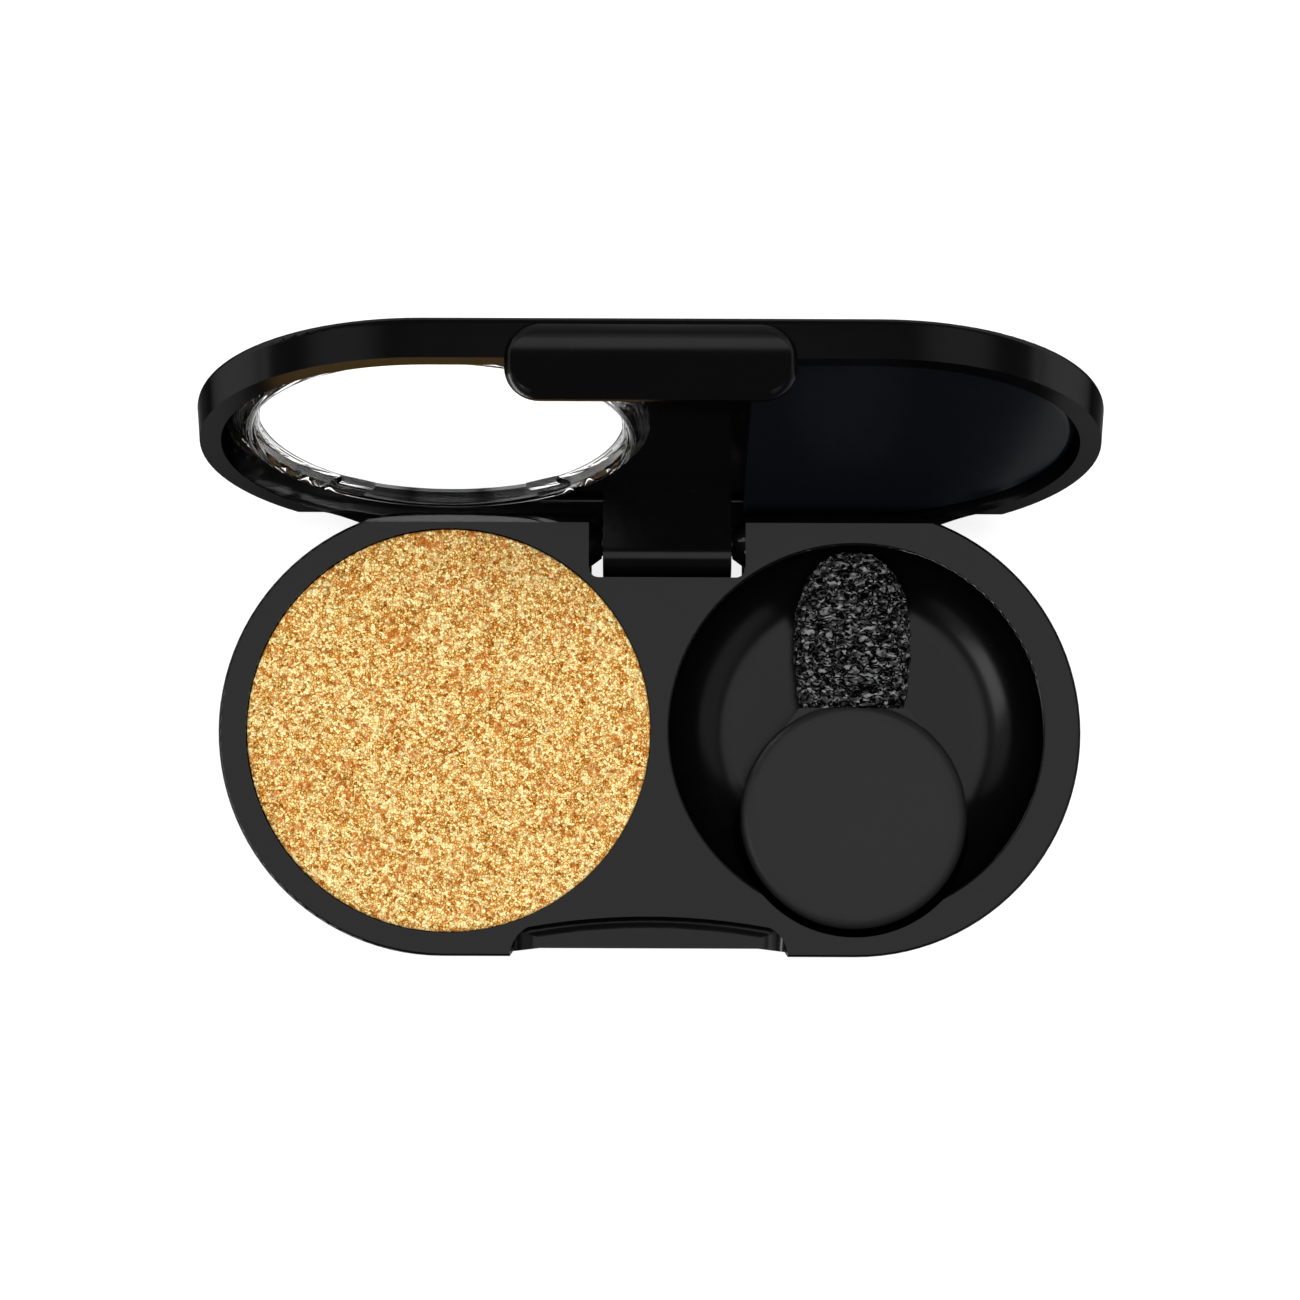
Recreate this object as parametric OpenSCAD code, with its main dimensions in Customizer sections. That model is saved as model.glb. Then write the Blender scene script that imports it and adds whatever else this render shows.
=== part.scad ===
// Pressed eyeshadow compact: a stadium-shaped case with a snap-hinged lid, a round pan of
// pressed powder under a clear lid window, and a disc-handled sponge applicator in a well.
// Origin: centre of the underside of the case. +Z up, +Y towards the hinge, millimetres.

/* [Case] */
// Length of the case over its two round ends
case_length = 64; // [63:0.5:66]
// Width of the case, which is also the diameter of its round ends
case_width = 33.5; // [33.5:0.1:34]
// Height of the base from the table to the deck
base_height = 6.6; // [6.6:0.1:7.4]
// Wall of the outer skirt
skirt_wall = 1.4; // [1.2:0.1:1.6]
// Thickness of the clip-in bottom cover
cover_thickness = 0.9; // [0.7:0.1:1]

/* [Powder] */
// Radius of the hole in the deck that shows the powder
pan_hole_radius = 15.04; // [14.5:0.01:15.04]
// Sideways distance of the pan from the middle of the case
pan_offset = 14.93; // [14.9:0.01:15.3]
// Depth of the recess that the pan is glued into
pan_recess_depth = 3.5; // [3.2:0.1:3.6]
// Height of the metal pan
pan_height = 2.6; // [2.4:0.1:2.8]

/* [Applicator] */
// Radius of the well that holds the applicator
well_radius = 13.86; // [13.5:0.01:13.9]
// Sideways distance of the well from the middle of the case
well_offset = 15.33; // [15.2:0.01:15.5]
// Depth of the well
well_depth = 4.8; // [4.6:0.1:4.8]
// Radius of the disc handle
disc_radius = 8.4; // [8:0.1:8.5]
// Thickness of the disc handle
disc_thickness = 4.55; // [4:0.05:4.6]
// Width of the sponge tip
sponge_width = 8.7; // [8:0.1:9]
// Thickness of the sponge tip
sponge_thickness = 3.6; // [3:0.1:3.8]

/* [Lid] */
// Height of the lid at the middle of its slightly crowned top
lid_height = 3.3; // [3.2:0.1:3.6]
// Thickness of the lid's side wall at its rim
lid_wall = 1.25; // [1.1:0.05:1.4]
// Radius of the clear opening over the powder
window_radius = 13.7; // [13:0.1:13.7]
// Angle from closed at which the lid comes to rest on the back of the base
lid_open_angle = 103; // [90:1:103]

/* [Hinge and latch] */
// Width of the notch in the base that the hinge lug turns in
notch_width = 11.7; // [11:0.1:12]
// Radius of the rounded front of the hinge knuckle
knuckle_radius = 1.65; // [1.55:0.05:1.65]
// Radius of the moulded pivot studs
pivot_radius = 0.9; // [0.8:0.05:1]
// Width of the latch tab
tab_width = 19.5; // [18:0.5:19.5]
// Length of the tab below the rim of the lid
tab_drop = 3; // [2.5:0.1:3.2]

/* [Hidden] */
$fn = 96;

eps = 0.01;
far = 60;                                   // longer than anything that it cuts
end_radius = case_width / 2;
half_straight = (case_length - case_width) / 2;

base_draft = 0.3;                           // the skirt leans in by this much towards the table
base_foot_radius = 1.5;
deck_edge_radius = 0.2;
deck_thickness = 1.2;
cup_wall = 0.9;
shoulder_width = 0.5;                       // ledge that the bottom cover seats on
cover_gap = 0.08;
post_radius = 1.1;

hinge_y = 14.1;
hinge_z = base_height - 1.85;
barrel_radius = 2.32;                       // back of the base, concentric with the hinge
barrel_gap = 0.13;
back_face_y = 15;                           // flat back of the base under the barrel
notch_x = 1.27;
notch_front_y = 11.4;
notch_corner = 0.75;
notch_lip = 0.12;                           // the notch narrows by this much near the table
notch_lip_top = 1.5;
lug_width = notch_width - 2.1;
knuckle_y = 0.1;                            // middle of the knuckle, from the hinge axis with the lid closed
knuckle_drop = 0.9;
lug_front_y = hinge_y + knuckle_y - knuckle_radius;
lug_gap = 0.1;
stud_length = 1.2;
stud_cone_radius = 1.8;
stud_neck_radius = pivot_radius + 0.2;
running_gap = 0.05;

thumb_width = 20.5;
thumb_back_y = -13.8;
thumb_arc_radius = 50;
thumb_depth = 1.3;
thumb_fillet = 0.85;
thumb_level = 16.5;                         // length of the level part of the ledge
thumb_end_radius = 2.2;                     // the ledge curves up to the deck at each end
thumb_corner = 2.4;
thumb_corner_y = -16.75;
thumb_front_y = -16.15;
thumb_flare = 0.25;                         // the front face runs out by this much at its ends

pan_radius = pan_hole_radius - 0.1;
pan_wall = 0.3;
adhesive_radius = 10;
adhesive_thickness = 0.2;
powder_overfill = 0.25;
pan_floor_z = base_height - pan_recess_depth;
pan_z = pan_floor_z + adhesive_thickness;

well_fillet = 4.6;                          // the wall is a cove almost down to the flat floor
well_floor_z = base_height - well_depth;
disc_x = 15.19;
disc_y = -6.3;
lobe_radius = 9;
lobe_fillet = 1;
well_rim_radius = 0.18;                     // rounding of the deck all round the well
disc_z = well_floor_z + 0.05;               // the applicator lies just off the floor of the well
disc_edge = 0.7;
dish_radius = 7.4;
dish_depth = 0.24;
dish_sphere = (dish_radius * dish_radius + dish_depth * dish_depth) / (2 * dish_depth);
neck_width = 8.1;
neck_end_y = 1.7;
neck_reach = neck_end_y - disc_y;
neck_taper = 2.5;                           // length over which it widens towards the disc
neck_top = 4.1;                             // the shoulder where the sponge starts, above the handle's foot
tongue = [3, 7, 1.2];
sponge_tip_y = 13.5;
sponge_z = disc_z + 2.15;
sponge_stations = [[0.02, 0.45, 0], [0.4, 0.5, 0.1], [0.7, 0.44, 0.45]];    // place, half width, lift
sponge_bulge = 1.6;
sponge_tip_radius = 1.3;
sponge_tip_lift = 1.1;                      // the tip bends up over the cove of the well

seat_gap = 0.05;                            // between the closed rim and the deck
rim_z = base_height + seat_gap;
lid_flare = 0.25;
lid_edge_height = 2.95;
lid_edge_radius = 0.55;
end_wall_extra = 0.25;                      // the side wall is thicker at the round ends
crown_margin = 3;                           // slope between the edge and the flat crown
plate_depth = 2.4;                          // from the rim to the inner face of the lid's top
inner_fillet = 0.5;
flange_radius = 14.85;
flange_thickness = 0.5;
window_gap = 0.08;
collar_radius = 14.1;                       // round collar that stands inwards from the window's flange
collar_wall = 0.8;
collar_height = 1;
window_lug = [2.8, 1.2, 0.5];               // width, depth and height of the two lugs inside the collar
window_lug_angle = 33;
channel_depth = 0.25;
channel_end_y = -end_radius + 2.5;
panel_x = 7;
panel_margin = 0.3;
panel_foot = 0.6;                           // height over which it is narrower, against the lid's top plate
panel_depth = 0.8;                          // from the rim to the face of the inner panel
panel_edge = 0.6;

tab_top = 2.55;
tab_out = 0.85;
tab_gap = 0.3;                              // between the tab and the front of the base
tab_corner = 2.4;
tab_round = 1.67;                           // radius of the soft edge all round the face
tab_round_width = 1.45;
tab_back = 0.5;                             // how far the pillow reaches into the side wall of the lid
tab_face = 0.35;                            // the face lies this far behind the lip that the thumb lifts
tab_hollow = 3.6;                           // radius of the hollow under the lip
tab_hollow_z = -0.1;
bead_radius = 0.15;
bead_length = 12;

// ---- shared outlines -------------------------------------------------------------------

// Stadium outline, grown or shrunk by `grow`, with its ends moved in by `shorten`
module stadium(grow = 0, shorten = 0) {
    for (side = [-1, 1])
        translate([side * (half_straight - shorten), 0])
            circle(r = end_radius + grow);
    square([2 * (half_straight - shorten), 2 * (end_radius + grow)], center = true);
}

// Solid whose side follows a half profile, drawn as x = distance out from the long axis
module stadium_solid(straight = half_straight) {
    for (side = [-1, 1])
        translate([side * straight, 0, 0])
            rotate([0, 0, side * 90 + 180])
                rotate_extrude(angle = 180)
                    children();
    for (side = [0, 180])
        rotate([90, 0, 90 + side])
            translate([0, 0, -straight])
                linear_extrude(2 * straight)
                    children();
}

// Cylinder along X, centred on the hinge axis
module hinge_rod(r, from_x, to_x) {
    translate([from_x, hinge_y, hinge_z])
        rotate([0, 90, 0])
            cylinder(r = r, h = to_x - from_x);
}

// Turns a lid part from closed to its resting open position
module lid_opened() {
    translate([0, hinge_y, hinge_z])
        rotate([-lid_open_angle, 0, 0])
            translate([0, -hinge_y, -hinge_z])
                children();
}

// Rectangle between two corners
module span(x0, y0, x1, y1) {
    translate([x0, y0])
        square([x1 - x0, y1 - y0]);
}

// ---- base ------------------------------------------------------------------------------

module base_profile() {
    foot_x = end_radius - base_draft - base_foot_radius;
    edge_x = end_radius - deck_edge_radius;
    polygon([
        [0, 0],
        [foot_x, 0],
        [foot_x + base_foot_radius, base_foot_radius],
        [end_radius, base_height - deck_edge_radius],
        [edge_x, base_height],
        [0, base_height]
    ]);
    translate([foot_x, base_foot_radius])
        circle(r = base_foot_radius);
    translate([edge_x, base_height - deck_edge_radius])
        circle(r = deck_edge_radius);
}

// Outline of the notch that the hinge lug turns in, grown all round by `grow`
module notch_outline(grow = 0) {
    half = notch_width / 2 + grow;
    corner = notch_corner + grow;
    front = notch_front_y - grow;
    for (side = [-1, 1])
        translate([notch_x + side * (half - corner), front + corner])
            circle(r = corner);
    span(notch_x - half + corner, front, notch_x + half - corner, far);
    span(notch_x - half, front + corner, notch_x + half, far);
}

// Hollow of the base as seen from below, between the skirt and the walls round the cut-outs
module hollow_outline(inset = 0) {
    difference() {
        stadium(-skirt_wall - inset);
        notch_outline(cup_wall + inset);
        span(-far, back_face_y - skirt_wall - inset, far, far);
        span(-thumb_width / 2 - cup_wall - inset, -far,
             thumb_width / 2 + cup_wall + inset, thumb_back_y + cup_wall + inset);
    }
}

// Room for the applicator: a bowl with a coved wall and a lobe for the disc handle
module well_space(grow = 0) {
    fillet = well_fillet + grow;
    floor_z = well_floor_z - grow;
    translate([well_offset, 0, floor_z])
        rotate_extrude() {
            span(0, 0, well_radius - well_fillet, far);
            span(0, fillet, well_radius + grow, far);
            intersection() {
                translate([well_radius - well_fillet, fillet])
                    circle(r = fillet);
                span(0, 0, far, far);
            }
        }
    translate([disc_x, disc_y, floor_z])
        rotate_extrude() {
            span(0, 0, lobe_radius - lobe_fillet, far);
            span(0, lobe_fillet + grow, lobe_radius + grow, far);
            translate([lobe_radius - lobe_fillet, lobe_fillet + grow])
                circle(r = lobe_fillet + grow);
        }
}

// Rounding between the deck and the wall of the well
module well_rim() {
    translate([well_offset, 0, base_height - well_rim_radius])
        rotate_extrude($fn = 180)
            difference() {
                span(well_radius - eps, 0, well_radius + well_rim_radius, far);
                translate([well_radius + well_rim_radius, 0])
                    circle(r = well_rim_radius);
            }
}

// Scoop in the front edge that a fingertip reaches to lift the latch tab
module thumb_scoop() {
    half = thumb_width / 2;
    intersection() {
        thumb_arc();
        translate([0, 0, base_height - thumb_depth])
            rotate([90, 0, 0])
                linear_extrude(2 * far, center = true) {
                    span(-thumb_level / 2, 0, thumb_level / 2, far);
                    for (side = [-1, 1])
                        translate([side * thumb_level / 2, thumb_end_radius])
                            circle(r = thumb_end_radius);
                }
        linear_extrude(far) {
            span(-half, -far, half, thumb_corner_y);
            span(-half + thumb_corner, -far, half - thumb_corner, 0);
            for (side = [-1, 1])
                translate([side * (half - thumb_corner), thumb_corner_y])
                    circle(r = thumb_corner);
        }
    }
    translate([0, 0, -eps])
        linear_extrude(far)
            polygon([
                [-half, -far],
                [-half, thumb_front_y - thumb_flare],
                [-thumb_level / 2, thumb_front_y],
                [thumb_level / 2, thumb_front_y],
                [half, thumb_front_y - thumb_flare],
                [half, -far]
            ]);
}

// Wide arc of the scoop, with a fillet between its ledge and the deck
module thumb_arc() {
    ledge_radius = thumb_arc_radius - thumb_fillet;
    translate([0, thumb_back_y - thumb_arc_radius, base_height - thumb_depth])
        rotate_extrude($fn = 240) {
            span(0, 0, ledge_radius, far);
            difference() {
                span(ledge_radius - eps, 0, thumb_arc_radius, far);
                translate([ledge_radius, 0])
                    difference() {
                        span(-1, 0, thumb_fillet, thumb_depth);
                        translate([0, thumb_depth])
                            scale([thumb_fillet / thumb_depth, 1])
                                circle(r = thumb_depth);
                    }
            }
        }
}

// The back of the base is a barrel round the hinge axis above a flat face
module back_cut() {
    difference() {
        translate([-far, back_face_y, -eps])
            cube([2 * far, far, far]);
        hinge_rod(barrel_radius, -far, far);
    }
}

// Two pivot studs on cones, moulded on the walls of the notch
module pivot_studs() {
    for (side = [-1, 1])
        translate([notch_x + side * notch_width / 2, hinge_y, hinge_z])
            rotate([0, -side * 90, 0]) {
                cone_length = (notch_width - lug_width) / 2 - lug_gap;
                translate([0, 0, -cup_wall / 2])
                    cylinder(r = stud_cone_radius, h = cup_wall / 2 + eps);
                cylinder(r1 = stud_cone_radius, r2 = stud_neck_radius, h = cone_length);
                cylinder(r = pivot_radius, h = cone_length + stud_length);
            }
}

module base_shell() {
    color([0.17, 0.17, 0.17]) {
        difference() {
            stadium_solid()
                base_profile();
            translate([0, 0, -eps])
                linear_extrude(cover_thickness + eps)
                    hollow_outline();
            difference() {
                translate([0, 0, cover_thickness - eps])
                    linear_extrude(base_height - deck_thickness - cover_thickness + eps)
                        hollow_outline(shoulder_width);
                translate([-pan_offset, 0, pan_floor_z - cup_wall])
                    cylinder(r = pan_hole_radius + cup_wall, h = far);
                well_space(cup_wall);
                hinge_rod(barrel_radius, -far, far);
                for (a = [45:90:315])
                    translate([-pan_offset, 0, 0])
                        rotate([0, 0, a])
                            translate([adhesive_radius, 0, cover_thickness])
                                cylinder(r = post_radius, h = far);
            }
            translate([-pan_offset, 0, pan_floor_z])
                cylinder(r = pan_hole_radius, h = far, $fn = 180);
            well_space();
            well_rim();
            thumb_scoop();
            back_cut();
            translate([0, 0, -eps])
                linear_extrude(far)
                    notch_outline(-notch_lip);
            translate([0, 0, notch_lip_top])
                linear_extrude(far)
                    notch_outline();
        }
        pivot_studs();
    }
}

module bottom_cover() {
    color([0.12, 0.12, 0.12])
        linear_extrude(cover_thickness)
            hollow_outline(cover_gap);
}

// ---- powder ----------------------------------------------------------------------------

module powder_pan() {
    color("silver")
        translate([-pan_offset, 0, pan_z])
            difference() {
                cylinder(r = pan_radius, h = pan_height);
                translate([0, 0, pan_wall])
                    cylinder(r = pan_radius - pan_wall, h = far);
            }
}

// The cake fills the pan and is pressed over its rim
module pressed_powder() {
    color([0.85, 0.65, 0.35])
        translate([-pan_offset, 0, pan_z]) {
            translate([0, 0, pan_wall])
                cylinder(r = pan_radius - pan_wall, h = pan_height - pan_wall + eps);
            translate([0, 0, pan_height])
                cylinder(r = pan_radius, h = powder_overfill, $fn = 180);
        }
}

module pan_adhesive() {
    color("white")
        translate([-pan_offset, 0, pan_floor_z])
            cylinder(r = adhesive_radius, h = adhesive_thickness);
}

// ---- applicator ------------------------------------------------------------------------

// Half of the section of the disc grip, with both edges rounded
module disc_profile() {
    span(0, 0, disc_radius - disc_edge, disc_thickness);
    span(0, disc_edge, disc_radius, disc_thickness - disc_edge);
    for (z = [disc_edge, disc_thickness - disc_edge])
        translate([disc_radius - disc_edge, z])
            circle(r = disc_edge);
}

// Tapered neck between the disc and the sponge
module neck() {
    root = neck_width * 0.74;
    translate([0, 0, disc_edge / 2])
        linear_extrude(neck_top - disc_edge / 2)
            polygon([
                [-neck_width / 2, neck_reach],
                [-root, neck_reach - neck_taper],
                [root, neck_reach - neck_taper],
                [neck_width / 2, neck_reach]
            ]);
}

// Disc grip with a dished top, its neck, and the tongue inside the sponge
module applicator_handle() {
    color([0.2, 0.2, 0.2])
        translate([disc_x, disc_y, disc_z]) {
            difference() {
                union() {
                    rotate_extrude()
                        disc_profile();
                    neck();
                }
                translate([0, 0, disc_thickness - dish_depth + dish_sphere])
                    sphere(r = dish_sphere, $fn = 180);
                translate([-far, neck_reach, -far])
                    cube(2 * far);
            }
            translate([-tongue.x / 2, neck_reach - eps, (sponge_z - disc_z) - tongue.z / 2])
                cube(tongue);
        }
}

// Bullet-shaped foam tip with a slot for the tongue of the handle
module applicator_sponge() {
    body_length = sponge_tip_y - neck_end_y;
    color([0.1, 0.1, 0.1])
        difference() {
            translate([disc_x, neck_end_y, sponge_z])
                hull() {
                    for (p = sponge_stations)
                        translate([0, p[0] * body_length, p[2]])
                            scale([p[1] * sponge_width, sponge_bulge, sponge_thickness / 2])
                                sphere(r = 1, $fn = 32);
                    translate([0, body_length - sponge_tip_radius, sponge_tip_lift])
                        scale([sponge_width * 0.2, sponge_tip_radius, sponge_thickness / 3])
                            sphere(r = 1, $fn = 32);
                }
            translate([-far, neck_end_y - far, -far])
                cube([2 * far, far, 2 * far]);
            translate([disc_x - tongue.x / 2, neck_end_y - 1, sponge_z - tongue.z / 2])
                cube([tongue.x, tongue.y + 1, tongue.z]);
        }
}

// ---- lid, drawn closed with its rim on the deck ----------------------------------------

module lid_profile() {
    edge_x = end_radius + lid_flare - lid_edge_radius;
    edge_z = lid_edge_height - lid_edge_radius;
    polygon([
        [0, 0],
        [end_radius, 0],
        [end_radius + lid_flare, edge_z],
        [edge_x, lid_edge_height],
        [end_radius - crown_margin, lid_height],
        [0, lid_height]
    ]);
    translate([edge_x, edge_z])
        circle(r = lid_edge_radius);
}

// Inside of the lid, with a small fillet between the wall and the top plate
module lid_hollow_profile() {
    inner = end_radius - lid_wall;
    span(0, -1, inner - inner_fillet, plate_depth);
    span(0, -1, inner, plate_depth - inner_fillet);
    translate([inner - inner_fillet, plate_depth - inner_fillet])
        circle(r = inner_fillet);
}

// Lug that carries the hinge: a block down from the lid, ending in a round knuckle
module hinge_lug() {
    translate([notch_x - lug_width / 2, hinge_y, hinge_z])
        rotate([90, 0, 90])
            linear_extrude(lug_width) {
                translate([knuckle_y, -knuckle_drop])
                    circle(r = knuckle_radius);
                span(knuckle_y - knuckle_radius, -knuckle_drop, knuckle_y + knuckle_radius,
                     rim_z + plate_depth + channel_depth + eps - hinge_z);
            }
}

// Half section of the soft edge of the tab, drawn as x = distance out from its corner's middle
module tab_edge_profile() {
    flat = tab_corner - tab_round_width;
    depth = tab_out + tab_back;
    span(0, 0, flat, depth);
    span(0, 0, tab_corner, tab_back);
    translate([flat, depth - tab_round])
        intersection() {
            circle(r = tab_round);
            span(0, tab_round - depth, tab_round_width, tab_round);
        }
}

// Soft pillow that the tab is cut from, lying on its back with its corners turned
module tab_pillow() {
    x = tab_width / 2 - tab_corner;
    y = (tab_drop + tab_top) / 2 - tab_corner;
    for (corner = [[x, y, 0], [-x, y, 90], [-x, -y, 180], [x, -y, 270]])
        translate([corner.x, corner.y, 0])
            rotate([0, 0, corner.z])
                rotate_extrude(angle = 90)
                    tab_edge_profile();
    for (edge = [[0, y, 0, x], [-x, 0, 90, y], [0, -y, 180, x], [x, 0, 270, y]])
        translate([edge.x, edge.y, 0])
            rotate([0, 0, edge.z])
                rotate([90, 0, 90])
                    linear_extrude(2 * edge[3], center = true)
                        tab_edge_profile();
    translate([-x, -y, 0])
        cube([2 * x, 2 * y, tab_out + tab_back]);
}

// Latch tab on the free edge of the lid: a pillow with a hollow face under a lip for the thumb
module latch_tab() {
    outer_y = -end_radius - tab_out;
    inner_y = thumb_front_y - tab_gap;
    bottom = rim_z - tab_drop;
    face_y = outer_y + tab_face;
    difference() {
        translate([0, -end_radius + tab_back, rim_z + (tab_top - tab_drop) / 2])
            rotate([90, 0, 0])
                tab_pillow();
        translate([-far, face_y - far, bottom - 1])
            cube([2 * far, far, tab_drop + tab_hollow_z + 1]);
        translate([-far, face_y - tab_hollow, rim_z + tab_hollow_z])
            rotate([0, 90, 0])
                cylinder(r = tab_hollow, h = 2 * far);
        translate([-far, inner_y, bottom - 1])
            cube([2 * far, far, tab_drop + 1]);
    }
    translate([-bead_length / 2, inner_y, rim_z - tab_drop * 0.6])
        rotate([0, 90, 0])
            cylinder(r = bead_radius, h = bead_length);
}

module lid_shell() {
    color([0.05, 0.05, 0.06])
        lid_opened() {
            difference() {
                union() {
                    difference() {
                        translate([0, 0, rim_z])
                            stadium_solid()
                                lid_profile();
                        translate([0, 0, rim_z])
                            stadium_solid(half_straight - end_wall_extra)
                                lid_hollow_profile();
                        hinge_rod(barrel_radius + barrel_gap, -far, far);
                    }
                    hinge_lug();
                }
                translate([-pan_offset, 0, rim_z])
                    cylinder(r = window_radius, h = far, $fn = 180);
                translate([notch_x - lug_width / 2, channel_end_y, rim_z + plate_depth - eps])
                    cube([panel_x + lug_width / 2 - notch_x, lug_front_y - channel_end_y, channel_depth + eps]);
                for (side = [-1, 1])
                    translate([notch_x + side * (lug_width / 2 + eps), hinge_y, hinge_z])
                        rotate([0, -side * 90, 0])
                            cylinder(r = pivot_radius + running_gap, h = stud_length + lug_gap + eps);
            }
            latch_tab();
        }
}

// Raised glossy panel that fills the half of the lid over the applicator
module lid_inner_panel() {
    color([0.05, 0.05, 0.07])
        lid_opened()
            translate([0, 0, rim_z])
                intersection() {
                    stadium_solid(half_straight - end_wall_extra)
                        panel_profile();
                    translate([panel_x, -far, -1])
                        cube([far, 2 * far, far]);
                }
}

module panel_profile() {
    outer = end_radius - lid_wall - panel_margin;
    span(0, panel_depth, outer - panel_edge, plate_depth);
    span(0, panel_depth + panel_edge, outer, plate_depth - panel_foot);
    translate([outer - panel_edge, panel_depth + panel_edge])
        circle(r = panel_edge);
}

// Collar with a round edge, standing towards the rim of the lid
module window_collar() {
    rotate_extrude($fn = 180) {
        span(collar_radius - collar_wall, collar_wall / 2 - collar_height, collar_radius, eps);
        translate([collar_radius - collar_wall / 2, collar_wall / 2 - collar_height])
            circle(r = collar_wall / 2);
    }
}

// Clear window: a plug flush with the top of the lid and a flange welded inside
module lid_window() {
    color([0.9, 0.95, 1, 0.35])
        lid_opened()
            translate([-pan_offset, 0, rim_z]) {
                translate([0, 0, plate_depth - flange_thickness]) {
                    cylinder(r = flange_radius, h = flange_thickness, $fn = 180);
                    window_collar();
                    for (side = [-1, 1])
                        rotate([0, 0, 90 + side * window_lug_angle])
                            translate([collar_radius - collar_wall / 2 - window_lug.y,
                                       -window_lug.x / 2, -window_lug.z])
                                cube([window_lug.y, window_lug.x, window_lug.z + eps]);
                }
                translate([0, 0, plate_depth - eps])
                    cylinder(r = window_radius - window_gap, h = lid_height - plate_depth + eps, $fn = 180);
            }
}

base_shell();
bottom_cover();
powder_pan();
pressed_powder();
pan_adhesive();
applicator_handle();
applicator_sponge();
lid_shell();
lid_inner_panel();
lid_window();
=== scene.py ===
# Pressed eyeshadow compact, open: finishes, powder cake, foam tip, camera and studio light
from math import acos, cos, pi, radians, sin

import bmesh
import bpy
from mathutils import Matrix, Quaternion, Vector, noise


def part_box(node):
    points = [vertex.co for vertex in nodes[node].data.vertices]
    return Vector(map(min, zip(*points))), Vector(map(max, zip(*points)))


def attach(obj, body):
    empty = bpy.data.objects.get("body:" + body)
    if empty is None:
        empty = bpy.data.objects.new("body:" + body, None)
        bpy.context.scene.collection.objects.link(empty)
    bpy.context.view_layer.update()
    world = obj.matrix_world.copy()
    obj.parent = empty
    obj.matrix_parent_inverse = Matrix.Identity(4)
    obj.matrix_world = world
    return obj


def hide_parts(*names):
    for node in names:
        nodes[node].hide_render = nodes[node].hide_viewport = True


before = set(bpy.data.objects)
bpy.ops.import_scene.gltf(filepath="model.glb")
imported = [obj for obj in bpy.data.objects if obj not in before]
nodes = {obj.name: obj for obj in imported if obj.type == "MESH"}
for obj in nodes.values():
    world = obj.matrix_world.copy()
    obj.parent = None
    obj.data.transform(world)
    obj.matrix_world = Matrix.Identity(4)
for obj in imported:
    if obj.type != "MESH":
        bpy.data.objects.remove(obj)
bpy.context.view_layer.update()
mm = 0.001
noiseLow, noiseHigh = 0.3, 0.7      # nearly all of a noise texture lies between these
scene = bpy.context.scene
print("frame loaded:", len(nodes), "nodes")


def linearColour(hexText):
    # sRGB hex to the linear numbers that Blender's colour sockets take
    channels = [int(hexText[i:i + 2], 16) / 255 for i in (1, 3, 5)]
    return [c / 12.92 if c <= 0.04045 else ((c + 0.055) / 1.055) ** 2.4 for c in channels] + [1]


def addNode(tree, kind, inputs=None, **settings):
    node = tree.nodes.new("ShaderNode" + kind)
    for name, value in settings.items():
        setattr(node, name, value)
    for socket, value in (inputs or {}).items():
        if isinstance(value, bpy.types.NodeSocket):
            tree.links.new(value, node.inputs[socket])
        else:
            node.inputs[socket].default_value = value
    return node


def perMetre(sizeMm):
    # texture scale for features about this many millimetres apart
    return 1000 / sizeMm


def newMaterial(name):
    material = bpy.data.materials.new(name)
    material.use_nodes = True
    material.node_tree.nodes.clear()
    return material, material.node_tree


def useMaterial(obj, material):
    obj.data.materials.clear()
    obj.data.materials.append(material)


def meshObject(name, bm):
    mesh = bpy.data.meshes.new(name)
    bm.to_mesh(mesh)
    bm.free()
    for face in mesh.polygons:
        face.use_smooth = True
    obj = bpy.data.objects.new(name, mesh)
    scene.collection.objects.link(obj)
    return obj


# The camera looks nearly straight down, from a little in front
view = {
    "aim": (0.013, 5.95, 6.6),     # the point at the middle of the view, mm
    "tilt": 5.2,                   # degrees from straight down, leaning to the front
    "distance": 244.4,             # mm
    "lens": 91.02,                 # mm
    "roll": 0.2,                   # degrees
    "clip": (0.01, 100),           # m
}


def placeCamera():
    data = bpy.data.cameras.new("camera")
    data.lens = view["lens"]
    data.clip_start, data.clip_end = view["clip"]
    cam = bpy.data.objects.new("camera", data)
    scene.collection.objects.link(cam)
    tilt = radians(view["tilt"])
    back = Vector((0, -sin(tilt), cos(tilt)))
    cam.location = (Vector(view["aim"]) + back * view["distance"]) * mm
    cam.rotation_mode = "QUATERNION"
    facing = (-back).to_track_quat("-Z", "Y")
    cam.rotation_quaternion = facing @ Quaternion((0, 0, 1), radians(view["roll"]))
    scene.camera = cam


placeCamera()
print("camera placed")


# A dark room with a soft bright ceiling, over a white board
studio = {
    "ceiling": 0.62,               # brightness of the soft ceiling straight above
    "ceilingAngle": (14, 23),      # degrees from straight up: where it starts and ends its fade
    "side": 0.24,                  # dim curtains to the left and right
    "sideSpread": (0.28, 0.55),    # how far out to the sides they begin and are full
    "sideHeight": (0.35, 0.55),
    "walls": 0.03,                 # the dark studio round it
    "horizon": 0.4,                # the far backdrop in reflections
    "horizonAngle": (3, 6),        # degrees up to which it reaches
    "farAngle": (20, 35),          # the same for what shows through the clear window
    "throughGain": 1.5,            # makes good what the two faces of the clear window reflect away
    "floorGlow": (0.85, 1.0),      # near the object, where the lamps add to it, and far off
    "floorFade": (0.1, 0.6),       # m from the middle, between the two
    "floorMirror": 0.09,           # share of that glow in reflections: the dark curtains swallow the rest
    "floorColour": "#9a9a9a",      # grey, because the glow above makes most of its white
    "floorSize": 40,               # m
    "floorDrop": 0.02,             # mm that it lies under the case
}

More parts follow.
